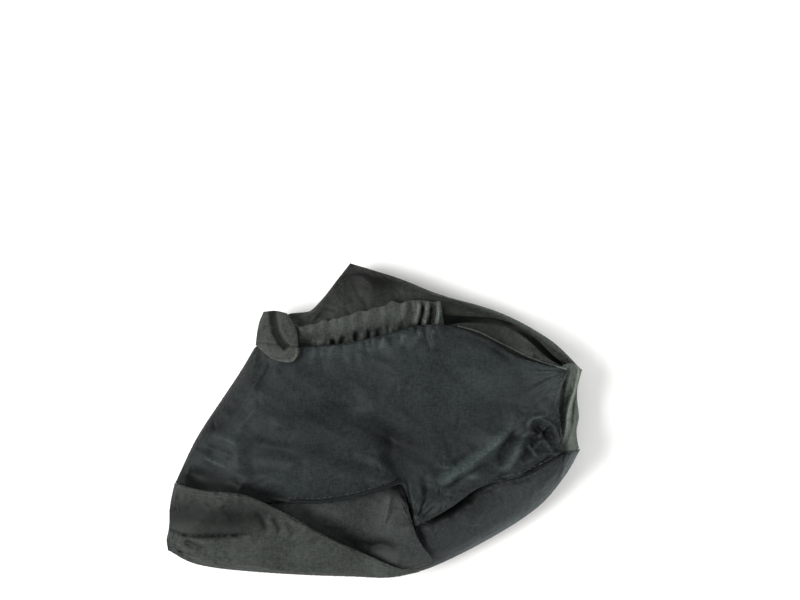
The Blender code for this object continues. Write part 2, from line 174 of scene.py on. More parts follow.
def wovenPolyester(name, hexColour, turn, sheen=1.0, withPaintedLight=False):
    # Plain-woven polyester: matt, with a faint grid of yarns, soft creases and a slight sheen
    material = bpy.data.materials.new(name)
    material.use_nodes = True
    tree = material.node_tree
    shader = tree.nodes["Principled BSDF"]
    base = linearColour(hexColour)
    dark, pale = (tuple(c * cloth[end] for c in base[:3]) + (1.0,) for end in ("dark", "pale"))

    where = addNode(tree, "ShaderNodeTexCoord")
    mapped = addNode(tree, "ShaderNodeMapping", {"Rotation": (0.0, 0.0, math.radians(turn))},
                     Vector=where.outputs["Object"])
    axes = addNode(tree, "ShaderNodeSeparateXYZ", Vector=mapped.outputs[0])
    perThread = math.pi / cloth["thread"]
    fine, long = 1 / cloth["thread"], 1 / cloth["yarnRun"]
    threads, yarns = [], []
    for axis, stretch in enumerate(((fine, long, long), (long, fine, long))):   # warp, then weft
        phase = addNode(tree, "ShaderNodeMath", {"operation": "MULTIPLY", 1: perThread},
                        _0=axes.outputs[axis])
        threads.append(addNode(tree, "ShaderNodeMath", {"operation": "SINE"}, _0=phase.outputs[0]))
        drawn = addNode(tree, "ShaderNodeVectorMath", {"operation": "MULTIPLY", 1: stretch},
                        _0=mapped.outputs[0])
        yarns.append(addNode(tree, "ShaderNodeTexNoise", yarnGrain, Vector=drawn.outputs[0]))
    weave = addNode(tree, "ShaderNodeMath", {"operation": "MULTIPLY"},
                    _0=threads[0].outputs[0], _1=threads[1].outputs[0])
    slub = addNode(tree, "ShaderNodeMath", {"operation": "ADD"},
                   _0=yarns[0].outputs["Fac"], _1=yarns[1].outputs["Fac"])
    clouds = addNode(tree, "ShaderNodeTexNoise", cloudGrain, Vector=mapped.outputs[0])
    mottle = addNode(tree, "ShaderNodeMath", {"operation": "MULTIPLY_ADD", 1: cloth["yarnTone"]},
                     _0=slub.outputs[0], _2=clouds.outputs["Fac"])
    grid = addNode(tree, "ShaderNodeMath", {"operation": "MULTIPLY_ADD", 1: cloth["weaveTone"]},
                   _0=weave.outputs[0], _2=mottle.outputs[0])
    toneRange = {"From Min": cloth["toneLow"], "From Max": cloth["toneHigh"]}
    tone = addNode(tree, "ShaderNodeMapRange", toneRange, Value=grid.outputs[0])
    colour = addNode(tree, "ShaderNodeMix", {"data_type": "RGBA", 6: dark, 7: pale},
                     _0=tone.outputs["Result"])
    finish = colour.outputs[2]
    if withPaintedLight:     # the piece carries painted shade and highlights, a colour factor on each vertex
        paintedLight = addNode(tree, "ShaderNodeAttribute", {"attribute_name": "paintedLight"})
        finish = addNode(tree, "ShaderNodeVectorMath", {"operation": "SCALE"},
                         _0=finish, _3=paintedLight.outputs["Fac"]).outputs[0]
    tree.links.new(finish, shader.inputs["Base Color"])

    rough = addNode(tree, "ShaderNodeMapRange",
                    {**toneRange, "To Min": cloth["roughness"] - cloth["smoother"],
                     "To Max": cloth["roughness"] + cloth["rougher"]},
                    Value=mottle.outputs[0])
    tree.links.new(rough.outputs["Result"], shader.inputs["Roughness"])

    creases = addNode(tree, "ShaderNodeTexNoise", crumpleGrain, Vector=mapped.outputs[0])
    creaseBump = addNode(tree, "ShaderNodeBump", {"Strength": cloth["crumpleStrength"],
                                                  "Distance": cloth["crumpleDepth"]},
                         Height=creases.outputs["Fac"])
    weaveBump = addNode(tree, "ShaderNodeBump", {"Strength": cloth["weaveStrength"],
                                                 "Distance": cloth["weaveDepth"]},
                        Height=weave.outputs[0], Normal=creaseBump.outputs[0])
    tree.links.new(weaveBump.outputs[0], shader.inputs["Normal"])
    shader.inputs["Sheen Weight"].default_value = cloth["sheen"] * sheen
    shader.inputs["Sheen Roughness"].default_value = cloth["sheenRoughness"]
    shader.inputs["Sheen Tint"].default_value = linearColour(cloth["sheenTint"])
    shader.inputs["Specular IOR Level"].default_value = cloth["specular"]
    return material


# Shapes of the cloth. A route is a row of photo pixels; widths, spacings and rises are millimetres.

def alongRoute(points, route):
    # How far each point is from the route, the length walked to the nearest spot, and the side
    corners = [np.array(fromPhoto(*pixel)) for pixel in route]
    best = np.full(len(points), np.inf)
    walk = np.zeros(len(points))
    side = np.zeros(len(points))
    walked = 0.0
    for a, b in zip(corners, corners[1:]):
        run = b - a
        length = np.linalg.norm(run)
        offset = points[:, :2] - a
        along = np.clip(offset @ run / length ** 2, 0.0, 1.0)
        distance = np.linalg.norm(offset - along[:, None] * run, axis=1)
        nearer = distance < best
        best = np.where(nearer, distance, best)
        walk = np.where(nearer, walked + along * length, walk)
        side = np.where(nearer, np.sign(run[0] * offset[:, 1] - run[1] * offset[:, 0]), side)
        walked += length
    return best * perMetre, walk * perMetre, side, walked * perMetre


def ease(value):
    value = np.clip(value, 0.0, 1.0)
    return value * value * (3 - 2 * value)


def noiseAt(a, b, seed):
    return np.array([noise.noise(Vector((u, v, seed))) for u, v in zip(a, b)])


def turnedAxes(flat, degrees):
    # Places along and across a direction
    turned = math.radians(degrees)
    return (flat[:, 0] * math.cos(turned) + flat[:, 1] * math.sin(turned),
            -flat[:, 0] * math.sin(turned) + flat[:, 1] * math.cos(turned))


# The share of its route over which a fold fades out at each end
endFade = {"soft": 0.25, "crease": 0.15, "step": 0.2, "bead": 0.05}
rayShape = {"narrow": 0.35, "widening": 1.3, "fadeIn": 0.2, "fadeOut": 0.6}
stepSlope = 5       # how much wider the high side is than the drop


def foldHeights(points, folds):
    # kind, width, rise, route
    rise = np.zeros(len(points))
    for kind, width, height, route in folds:
        away, walk, side, total = alongRoute(points, route)
        share = walk / total
        if kind == "ray":       # narrow where it starts, wide and lost where it ends
            reach = width * (rayShape["narrow"] + rayShape["widening"] * share)
            rise += (height * np.exp(-(away / reach) ** 2) * ease(share / rayShape["fadeIn"])
                     * ease((1 - share) / rayShape["fadeOut"]))
            continue
        if kind == "soft":      # a round ridge or valley
            form = np.exp(-(away / width) ** 2)
        elif kind == "crease":  # a sharp one
            form = np.exp(-away / width)
        elif kind == "step":    # high on the left of the route, with a sharp drop on its right
            form = np.where(side > 0, np.exp(-(away / (stepSlope * width)) ** 2),
                            np.exp(-(away / width) ** 2))
        elif kind == "bead":    # an even rib, such as a hem
            form = np.exp(-(away / width) ** 4)
        rise += height * form * ease(np.minimum(share, 1 - share) / endFade[kind])
    return rise / perMetre


puckerShape = {"endFade": 4, "least": 0.02, "stretch": 3.5, "gain": 1.8}


def puckerHeights(points, puckers):
    # spacing, reach, rise, seed, route: short gathers that stand across a seam
    rise = np.zeros(len(points))
    for spacing, reach, height, seed, route in puckers:
        away, walk, side, total = alongRoute(points, route)
        near = np.exp(-(away / reach) ** 2)
        near = near * ease(np.minimum(walk, total - walk) / puckerShape["endFade"])
        held = near > puckerShape["least"]
        across = away[held] / (spacing * puckerShape["stretch"]) * side[held]
        wave = noiseAt(walk[held] / spacing, across, seed) * puckerShape["gain"]
        rise[held] += height * near[held] * wave
    return rise / perMetre


fanShape = {"stretch": 1.2, "sharpness": 3.2, "fadeIn": 0.25, "fadeOut": 0.75}


def fanHeights(points, fans):
    # centre, number of rays in a full turn, reach, rise, seed: creases that run out from a pinch
    rise = np.zeros(len(points))
    for centre, count, reach, height, seed in fans:
        away = (points[:, :2] - np.array(fromPhoto(*centre))) * perMetre
        distance = np.linalg.norm(away, axis=1)
        held = distance < reach
        angle = np.arctan2(away[held, 1], away[held, 0]) * count / (2 * math.pi)
        out = distance[held] / reach
        wave = 1 - np.abs(noiseAt(angle, out * fanShape["stretch"], seed)) * fanShape["sharpness"]
        rise[held] += (height * wave * ease(out / fanShape["fadeIn"])
                       * ease((1 - out) / fanShape["fadeOut"]))
    return rise / perMetre


puffShape = {
    "edge": 1.25, "long": 1.5,
    "bend": 0.8, "bendGrain": 0.8, "bendSeed": 5,       # how the creases wander
    "slope": 2.2, "widest": 0.45, "level": 0.45,
    "swell": 0.7, "swellGrain": 0.5, "swellSeed": 9,    # some puffs stand higher than others
}


def crumpleHeights(points, patches):
    # centre, reach along and across, turn, grain, rise, seed: puffs with creases between them
    rise = np.zeros(len(points))
    for centre, along, across, turn, grain, height, seed in patches:
        away = (points[:, :2] - np.array(fromPhoto(*centre))) * perMetre
        u, v = turnedAxes(away, turn)
        mask = ease(puffShape["edge"] - np.hypot(u / along, v / across))
        held = mask > 0
        a, b = u[held] / (grain * puffShape["long"]), v[held] / grain
        bend = noiseAt(a * puffShape["bendGrain"], b * puffShape["bendGrain"],
                       seed + puffShape["bendSeed"]) * puffShape["bend"]
        cells = [noise.voronoi(Vector((p, q, seed)))[0] for p, q in zip(a + bend, b - bend)]
        puffs = np.array([puffShape["slope"] * min(second - first, puffShape["widest"])
                          for first, second, *_ in cells]) - puffShape["level"]
        swell = puffShape["swell"] * noiseAt(a * puffShape["swellGrain"],
                                             b * puffShape["swellGrain"],
                                             seed + puffShape["swellSeed"])
        rise[held] += height * (puffs + swell) * mask[held]
    return rise / perMetre


wrinkleShape = {"long": 3, "sway": 0.6, "swayGrain": 0.7}


def slackHeights(points, slack):
    # size, rise, turn, seed: wrinkles about three times as long as wide, all over the ply
    rise = np.zeros(len(points))
    for size, height, turn, seed in slack:
        u, v = turnedAxes(points, turn)
        a, b = u * perMetre / (size * wrinkleShape["long"]), v * perMetre / size
        sway = wrinkleShape["sway"] * np.sin(b * wrinkleShape["swayGrain"])
        rise += height * noiseAt(a + sway, b, seed)
    return rise / perMetre


def facing(item, low=0.05, high=0.55):
    # 1 on the upper side, 0 underneath, soft between
    return ease((readVectors(item.data.vertices, "normal")[:, 2] - low) / (high - low))


def shapeUpper(item, plan):
    points = readPoints(item)
    rise = foldHeights(points, plan.get("folds", ()))
    rise += puckerHeights(points, plan.get("puckers", ()))
    rise += fanHeights(points, plan.get("fans", ()))
    rise += crumpleHeights(points, plan.get("patches", ()))
    rise += slackHeights(points, plan.get("slack", ()))
    points[:, 2] += rise * facing(item)
    writePoints(item, points)


paintedLightRange = {"darkest": 0.20, "palest": 3.0}


def paintLightAndShade(item, paintedLight):
    # Painted shade and painted highlights: the colour is darkened in creases, gaps and beside
    # folded edges, and paled on ridges and rims, where light would fall.
    # The rises of these folds are shares of the colour, not millimetres.
    tone = 1 + perMetre * foldHeights(readPoints(item), paintedLight)
    writeWeights(item, "paintedLight", np.clip(tone, paintedLightRange["darkest"], paintedLightRange["palest"]))


skin = {
    "weld": 0.000002,       # corners nearer than this are one
    "tipReach": 0.0001,     # and those as near as this to a tip belong to it
    "levels": 2,            # how often a ply is subdivided
    "even": 4,              # and how often smoothed
    "evenFiner": 2,         # and again once its upper side is finer
    "evenFactor": 0.5,
    "upward": 0.2,          # faces that look up more than this are the upper side
}


def mergedCopy(node, name):
    # A copy of the node's loose triangles, joined up into one skin
    source = bpy.data.objects[node]
    item = bpy.data.objects.new(name, source.data.copy())
    bpy.context.scene.collection.objects.link(item)
    item.data.materials.clear()
    choose(item)
    bpy.ops.object.mode_set(mode="EDIT")
    bpy.ops.mesh.select_all(action="SELECT")
    bpy.ops.mesh.remove_doubles(threshold=skin["weld"])
    bpy.ops.mesh.customdata_custom_splitnormals_clear()
    bpy.ops.object.mode_set(mode="OBJECT")
    return item


def keepTips(item, tips):
    # The outline's corners stay sharp when the skin is subdivided
    if not tips:
        return
    points = readPoints(item)[:, :2]
    hold = np.zeros(len(points))
    for pixel in tips:
        away = np.linalg.norm(points - np.array(fromPhoto(*pixel)), axis=1)
        hold[away < away.min() + skin["tipReach"]] = 1.0
    writeWeights(item, "crease_vert", hold)


def subdivideSkin(item, levels):
    applyModifier(item, "SUBSURF", levels=levels, render_levels=levels)


def evenHeights(item, rounds):
    # Only up and down, so that the outline stays
    applyModifier(item, "SMOOTH", use_x=False, use_y=False, factor=skin["evenFactor"],
                  iterations=rounds)


def refineUpper(item, spots=None):
    # Twice as fine a mesh on the side that shows, or only round a few spots: centre and reach
    faces = item.data.polygons
    chosen = readVectors(faces, "normal")[:, 2] > skin["upward"]
    if spots:
        middles = readVectors(faces, "center")[:, :2]
        near = [np.linalg.norm(middles - fromPhoto(*centre), axis=1) < reach / perMetre
                for centre, reach in spots]
        chosen &= np.any(near, axis=0)
    faces.foreach_set("select", chosen)
    choose(item)
    bpy.ops.object.mode_set(mode="EDIT")
    bpy.ops.mesh.select_mode(type="FACE")
    bpy.ops.mesh.subdivide(number_cuts=1, smoothness=0.0)
    bpy.ops.object.mode_set(mode="OBJECT")


simulation = {
    "frames": 16,
    "quality": 4,
    "mass": 0.12,
    "stiffness": 14.0,
    "bending": 0.03,
    "heldBelow": 0.15,      # cloth that faces up less than this stays put
    "freeAbove": 0.8,       # and more than this moves freely
}


def settle(item, cap, grow, pressure):
    # Slack cloth swells and buckles a little over the ply; the underside and the rim stay put
    before = readPoints(item)
    held = item.vertex_groups.new(name="held")
    for index, free in enumerate(facing(item, simulation["heldBelow"], simulation["freeAbove"])):
        held.add([index], 1.0 - float(free), "REPLACE")
    choose(item)
    bpy.ops.object.modifier_add(type="CLOTH")
    modifier = item.modifiers[-1]
    fabric = modifier.settings
    fabric.quality = simulation["quality"]
    fabric.mass = simulation["mass"]
    fabric.tension_stiffness = simulation["stiffness"]
    fabric.compression_stiffness = simulation["stiffness"]
    fabric.bending_stiffness = simulation["bending"]
    fabric.shrink_min = -grow
    fabric.use_pressure = True
    fabric.uniform_pressure_force = pressure
    fabric.vertex_group_mass = "held"
    fabric.effector_weights.gravity = 0.0
    modifier.collision_settings.use_collision = False
    modifier.point_cache.frame_start = 1
    modifier.point_cache.frame_end = simulation["frames"]
    for number in range(1, simulation["frames"] + 1):
        bpy.context.scene.frame_set(number)
    bpy.ops.object.modifier_apply(modifier=modifier.name)
    bpy.context.scene.frame_set(1)
    move = readPoints(item) - before
    size = np.linalg.norm(move, axis=1)
    print("  cloth moved up to", round(float(size.max()) * perMetre, 2), "mm, mean",
          round(float(size.mean()) * perMetre, 2))
    # Small moves stay as they are, and large ones stay under the cap
    limit = cap / perMetre * np.tanh(size * perMetre / cap) / np.maximum(size, 1e-9)
    writePoints(item, before + move * limit[:, None])
    item.vertex_groups.clear()


def plyFrom(node, name, plan):
    # The node's ply as soft cloth: smooth skin, slack, then its folds on a finer mesh
    item = mergedCopy(node, name)
    keepTips(item, plan.get("tips"))
    subdivideSkin(item, plan.get("levels", skin["levels"]))
    evenHeights(item, plan.get("even", skin["even"]))
    if plan.get("grow"):
        settle(item, plan["cap"], plan["grow"], plan["pressure"])
    if plan.get("refine", True):
        refineUpper(item)
        evenHeights(item, skin["evenFiner"])
    if plan.get("fine"):
        refineUpper(item, plan["fine"])
    shapeUpper(item, plan)
    paintLightAndShade(item, plan.get("paintedLight", ()))
    smoothShade(item)
    item.data.materials.append(wovenPolyester(plan["finish"], plan["colour"], plan["turn"],
                                              plan.get("sheen", 1.0), withPaintedLight=True))
    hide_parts(node)
    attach(item, "root")
    print(name, "made:", len(item.data.polygons), "faces")
    return item


print("frame loaded, collar", [round((b - a) * perMetre, 1) for a, b in zip(*cadBox)], "mm")

# Camera: straight above, framed as the photo is
frameWidth = photo["width"] * photo["metresPerPixel"]
aim = fromPhoto(photo["width"] / 2, photo["height"] / 2)
distance = frameWidth * photo["lens"] / photo["sensor"]
bpy.ops.object.camera_add(location=(aim[0], aim[1], photo["focusHeight"] + distance))
camera = bpy.context.object
camera.name = "viewCamera"
camera.data.lens = photo["lens"]
camera.data.sensor_width = photo["sensor"]
camera.data.clip_start = photo["nearest"]
bpy.context.scene.camera = camera

# Table: plain and nearly white
tableTop = {"size": 6.0, "colour": "#f4f4f2", "roughness": 0.7}
bpy.ops.mesh.primitive_plane_add(size=tableTop["size"], location=(0.0, 0.0, 0.0))
table = bpy.context.object
table.name = "table"
matt = bpy.data.materials.new("matt white laminate")
matt.use_nodes = True
laminate = matt.node_tree.nodes["Principled BSDF"]
laminate.inputs["Base Color"].default_value = linearColour(tableTop["colour"])
laminate.inputs["Roughness"].default_value = tableTop["roughness"]
table.data.materials.append(matt)

# Lights: a broad soft key from the left and weak fills
lights = {
    "key": {"place": (-0.74, -0.06, 0.72), "size": 0.60, "power": 17.4},
    "fill": {"place": (0.10, 0.75, 0.85), "size": 1.0, "power": 2.5},
    "rim": {"place": (0.85, -0.30, 0.36), "size": 0.6, "power": 8.0},
}
for lightName, plan in lights.items():
    bpy.ops.object.light_add(type="AREA", location=plan["place"])
    lamp = bpy.context.object
    lamp.name = lightName + "Light"
    lamp.data.size = plan["size"]
    lamp.data.energy = plan["power"]
    lamp.rotation_euler = Vector(plan["place"]).to_track_quat("Z", "Y").to_euler()
studio = {"colour": (1.0, 1.0, 1.0, 1.0), "strength": 0.38}
world = bpy.data.worlds.new("softStudio")
world.use_nodes = True
world.node_tree.nodes["Background"].inputs["Color"].default_value = studio["colour"]
world.node_tree.nodes["Background"].inputs["Strength"].default_value = studio["strength"]
bpy.context.scene.world = world
bpy.context.scene.view_settings.view_transform = "Standard"
print("camera, table and lights set")

# Under sleeve and back sleeve: seen only at their rolled edges
underSleeve = {
    "levels": 1, "refine": False, "fill": 0.2, "finish": "woven polyester, under sleeve",
    "colour": "#242827", "turn": 12, "slot": "sleeve_cloth",
}
plyFrom("under_sleeve", "underSleeve", underSleeve)

# The back sleeve's colour is darker than the other plies: painted shade for the deep gap under the
# back rim
backSleeve = {
    "levels": 2, "refine": False, "fill": 0.2, "finish": "woven polyester, back sleeve, painted shade",
    "colour": "#1e2120", "turn": -20, "slot": "sleeve_cloth",
    "tips": ((351, 263), (582, 370)),
    "folds": (
        ("soft", 3.2, -3.4, ((440, 322), (458, 319), (480, 317), (502, 319), (528, 330))),
    ),
}
plyFrom("back_sleeve", "backSleeve", backSleeve)

backRim = {
    "cap": 0.6, "grow": 0.02, "pressure": 1.5, "tips": ((351, 263), (582, 370), (274, 312)),
    "fill": 0.1, "finish": "woven polyester, back rim",
    "colour": "#2b2e2a", "turn": -18, "slot": "back_cloth",
    "folds": (
        ("step", 1.6, 0.7, ((350, 268), (368, 281), (392, 290), (425, 296))),
        ("soft", 1.5, -0.5, ((352, 280), (362, 298), (372, 306))),
        ("bead", 0.7, 0.60, ((425, 292), (445, 297), (465, 303), (500, 315), (530, 329), (560, 351),
                             (576, 364))),
        ("soft", 1.8, 0.6, ((440, 305), (470, 309), (505, 318), (540, 340))),
        ("soft", 1.4, -0.6, ((292, 316), (305, 322), (322, 318))),
        ("soft", 1.6, 0.7, ((300, 317), (315, 314), (330, 298))),
    ),
    # Painted shade on the peak and along the gap under the rim's edge, painted highlight along the
    # rim's hem
    "paintedLight": (
        ("soft", 6.5, -0.80, ((310, 268), (352, 274), (375, 282), (410, 288))),
        ("soft", 3.0, 0.30, ((380, 290), (400, 291), (430, 297))),
        ("soft", 3.0, -0.35, ((284, 316), (300, 320), (318, 316), (330, 300))),
        ("bead", 0.9, 1.4, ((428, 291), (450, 297), (470, 303), (500, 314), (530, 328), (560, 350),
                            (577, 363))),
        ("crease", 0.9, -0.4, ((426, 297), (448, 303), (468, 309), (498, 320), (528, 335),
                               (556, 356))),
    ),
    "slack": ((7.0, 0.45, -20, 11), (2.6, 0.14, -24, 12)),
}
plyFrom("back_rim", "backRim", backRim)

neckWall = {
    "levels": 3, "refine": False, "fill": 0.1, "finish": "woven polyester, neck wall",
    "colour": "#2a2d2a", "turn": -30, "slot": "neck_cloth", "tips": ((567, 369),),
    "folds": (
        ("ray", 1.6, 1.1, ((567, 368), (545, 350), (522, 333), (505, 325))),
        ("ray", 1.2, -0.9, ((567, 368), (548, 349), (530, 334))),
        ("ray", 1.2, 0.9, ((567, 369), (540, 359), (518, 354))),
        ("ray", 1.0, -0.8, ((567, 369), (543, 354), (520, 345))),
        ("soft", 1.1, -1.2, ((532, 356), (536, 357), (540, 359))),
    ),
    # Painted highlights on the rays from the pinch, painted shade in the dimple and under the back
    # rim
    "paintedLight": (
        ("soft", 1.5, 0.7, ((568, 369), (548, 353), (528, 341), (512, 334))),
        ("soft", 1.5, 1.0, ((508, 347), (528, 354), (545, 359), (564, 367))),
        ("soft", 0.9, -0.6, ((530, 355), (536, 357), (541, 358))),
        ("soft", 3.0, -0.25, ((462, 322), (485, 326), (505, 332))),
    ),
    "slack": ((5.0, 0.40, -32, 21), (2.2, 0.16, -35, 22)),
}
neckWallPly = plyFrom("neck_wall", "neckWall", neckWall)

# The right tuck's colour is much paler than the other plies: a painted highlight lifting the facet
# out of the shade it lies in
rightTuck = {
    "levels": 3, "fill": 0.15, "finish": "woven polyester, right tuck, painted highlight",
    "colour": "#545b54", "turn": 75, "slot": "sleeve_cloth",
    "tips": ((582, 370), (577, 449)),
    "folds": (
        ("soft", 1.2, -1.0, ((570, 364), (562, 379), (561, 395), (560, 410), (559, 425),
                             (559, 446))),
        ("soft", 1.0, 1.5, ((577, 350), (577, 374), (575, 388), (571, 397), (568, 406), (566, 416),
                            (565, 428), (562, 444))),
        ("soft", 0.6, -1.0, ((577, 374), (576, 392), (573, 403), (572, 415), (570, 436))),
        ("soft", 0.9, 0.8, ((580, 394), (578, 408), (578, 424))),
        ("soft", 1.0, -0.7, ((575, 424), (574, 434), (576, 446))),
    ),
    # Painted shade in the gap beside the front sleeve and in the valley, painted highlight on the
    # ridge
    "paintedLight": (
        ("soft", 1.0, -0.55, ((570, 358), (561, 379), (560, 395), (559, 410), (558, 425),
                              (558, 450))),
        ("soft", 1.1, 1.0, ((577, 350), (577, 374), (575, 388), (571, 397), (568, 406), (566, 416),
                            (565, 428), (562, 444))),
        ("soft", 0.6, -0.5, ((577, 374), (576, 392), (573, 403), (572, 415), (570, 436))),
    ),
    "slack": ((3.0, 0.45, 80, 31), (1.4, 0.28, 80, 32)),
}
plyFrom("right_tuck", "rightTuck", rightTuck)

outerRoll = {
    "cap": 0.8, "grow": 0.02, "pressure": 2.5, "tips": ((577, 449),),
    "fill": 0.3, "finish": "woven polyester, outer roll",
    "colour": "#2b2f30", "turn": 38, "slot": "roll_cloth", "sheen": 3.0,
    "folds": (
        ("bead", 0.35, 0.30, ((484, 487), (500, 480), (520, 477), (540, 468))),
        ("crease", 0.30, -0.45, ((470, 497), (500, 483), (520, 480), (545, 468), (560, 459))),
        ("soft", 2.8, -1.8, ((402, 524), (430, 514), (456, 502), (480, 490))),
        ("soft", 1.4, -0.6, ((567, 452), (566, 468), (560, 484))),
        ("ray", 1.6, 0.7, ((568, 451), (548, 480), (520, 500))),
        ("crease", 0.45, 0.8, ((571, 450), (567, 458), (564, 464), (561, 474), (560, 484))),
    ),
    # Painted shadow in the wedge under the front sleeve's edge and in a crease, painted highlights
    # along the outer rim and the end facet
    "paintedLight": (
        ("soft", 5.0, -0.86, ((395, 528), (436, 512), (462, 499), (490, 484))),
        ("soft", 2.4, 1.2, ((440, 563), (470, 549), (500, 531), (530, 512), (555, 489),
                            (569, 468), (575, 456))),
        ("soft", 2.2, 1.9, ((577, 438), (573, 455), (568, 466), (562, 488))),
        ("crease", 0.8, -0.9, ((564, 446), (562, 458), (559, 470), (556, 486))),
    ),
    "slack": ((8.0, 0.55, 34, 41), (3.0, 0.16, 36, 42)),
}
plyFrom("outer_roll", "outerRoll", outerRoll)

middleFold = {
    "cap": 0.7, "grow": 0.025, "pressure": 1.5,
    "fill": 0.15, "finish": "woven polyester, middle fold",
    "colour": "#303433", "turn": -10, "slot": "sleeve_cloth",
    "folds": (
        ("soft", 1.2, 0.9, ((391, 492), (388, 508), (383, 528))),
        ("soft", 2.2, -1.1, ((366, 548), (382, 543), (398, 547))),
        ("soft", 3.6, -1.8, ((292, 504), (318, 519), (345, 536), (375, 552))),
        ("soft", 1.6, 0.8, ((396, 520), (406, 540), (418, 556))),
        ("soft", 2.4, 0.6, ((310, 510), (335, 517), (365, 512))),
    ),
    # Painted shadow beside the flap's folded edge and in the valley, painted highlight on the ridge
    "paintedLight": (
        ("soft", 4.4, -0.78, ((280, 500), (320, 522), (348, 538), (385, 558))),
        ("soft", 2.4, -0.60, ((360, 549), (382, 543), (402, 548))),
        ("soft", 2.0, 0.35, ((391, 492), (388, 508), (383, 528))),
    ),
    "slack": ((7.0, 0.60, -30, 51), (2.8, 0.16, -20, 52)),
}
plyFrom("middle_fold", "middleFold", middleFold)

# Gathered neck edge: one thin sheet of cloth in standing pleats
gatherSeam = ((298, 346), (330, 345), (357, 340), (386, 331), (420, 325), (436, 326))
neckGathers = {
    "levels": 2, "finish": "woven polyester, gathered", "colour": "#3d413e", "turn": 80,
    "slot": "neck_cloth", "flatLength": 0.088, "flatWidth": 0.0125, "shadeDegrees": 80,
    "edgeWander": 1.6, "edgeStep": 4.5, "edgeReach": 11.0, "edgeSeed": 7,
    "folds": (
        ("soft", 0.75, 1.5, ((420, 303), (418, 312), (416, 322))),
        ("soft", 0.85, 1.9, ((427, 301), (426, 315), (424, 332))),
        ("soft", 0.55, 1.2, ((434, 299), (433, 308), (431, 318))),
        ("soft", 0.80, 1.7, ((439, 303), (439, 316), (437, 330))),
        ("crease", 0.60, -1.6, ((423, 306), (421, 318), (419, 328))),
        ("crease", 0.70, -2.0, ((431, 306), (430, 318), (429, 330))),
        ("crease", 0.50, -1.2, ((436, 304), (436, 314), (434, 325))),
        ("soft", 2.2, -2.2, ((446, 296), (447, 312), (446, 334))),
        ("soft", 1.0, -1.6, ((334, 338), (333, 348))),
        ("soft", 1.2, -1.8, ((344, 335), (342, 346))),
        ("soft", 1.3, -1.8, ((358, 330), (355, 343))),
        ("soft", 1.0, -1.6, ((370, 328), (369, 341))),
        ("soft", 1.3, -1.6, ((380, 326), (378, 341))),
        ("soft", 1.6, 0.6, ((387, 306), (386, 318), (385, 330))),
        ("soft", 2.2, 0.5, ((404, 300), (404, 314), (402, 326))),
    ),
    # Painted shade between the puckers and pleats, painted highlights on the pleat ridges
    "paintedLight": (
        ("soft", 1.3, -0.6, ((334, 338), (333, 348))),
        ("soft", 1.6, -0.6, ((344, 335), (342, 346))),
        ("soft", 1.8, -0.6, ((358, 330), (355, 343))),
        ("soft", 1.3, -0.6, ((370, 328), (369, 341))),
        ("soft", 1.8, -0.5, ((380, 326), (378, 341))),
        ("soft", 1.6, -0.5, ((392, 331), (410, 327), (424, 325))),
        ("soft", 1.0, 1.7, ((421, 299), (418, 312), (415, 326))),
        ("soft", 1.1, 1.8, ((429, 296), (427, 314), (424, 334))),
        ("soft", 0.8, 1.5, ((438, 299), (438, 314), (436, 329))),
        ("soft", 0.7, -0.7, ((424, 298), (422, 314), (419, 330))),
        ("soft", 0.8, -0.7, ((433, 298), (432, 314), (430, 332))),
        ("soft", 1.4, 0.5, ((404, 300), (402, 312), (399, 326))),
        ("soft", 1.2, -0.35, ((410, 300), (408, 312), (406, 326))),
        ("soft", 1.6, 0.7, ((296, 338), (312, 342), (328, 344))),
    ),
    "puckers": (
        (2.1, 2.2, 0.9, 61, gatherSeam),
        (5.5, 6.0, 1.0, 62, ((298, 338), (330, 336), (360, 330), (400, 316), (436, 312))),
    ),
}
gathers = mergedCopy("neck_gathers", "neckGathers")
subdivideSkin(gathers, neckGathers["levels"])
gatherPoints = readPoints(gathers)
gatherPoints[:, 2] += foldHeights(gatherPoints, neckGathers["folds"])
gatherPoints[:, 2] += puckerHeights(gatherPoints, neckGathers["puckers"])
# The free edge wanders in and out, and the seam stays
away, walk = alongRoute(gatherPoints, gatherSeam)[:2]
wander = noiseAt(walk / neckGathers["edgeStep"], np.zeros(len(walk)), neckGathers["edgeSeed"])
gatherPoints[:, 1] += (neckGathers["edgeWander"] / perMetre * wander
                       * ease(away / neckGathers["edgeReach"]))
writePoints(gathers, gatherPoints)
paintLightAndShade(gathers, neckGathers["paintedLight"])
smoothShade(gathers, neckGathers["shadeDegrees"])
gathers.data.materials.append(wovenPolyester(neckGathers["finish"], neckGathers["colour"],
                                             neckGathers["turn"], withPaintedLight=True))
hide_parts("neck_gathers")
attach(gathers, "root")
print("neck gathers made")

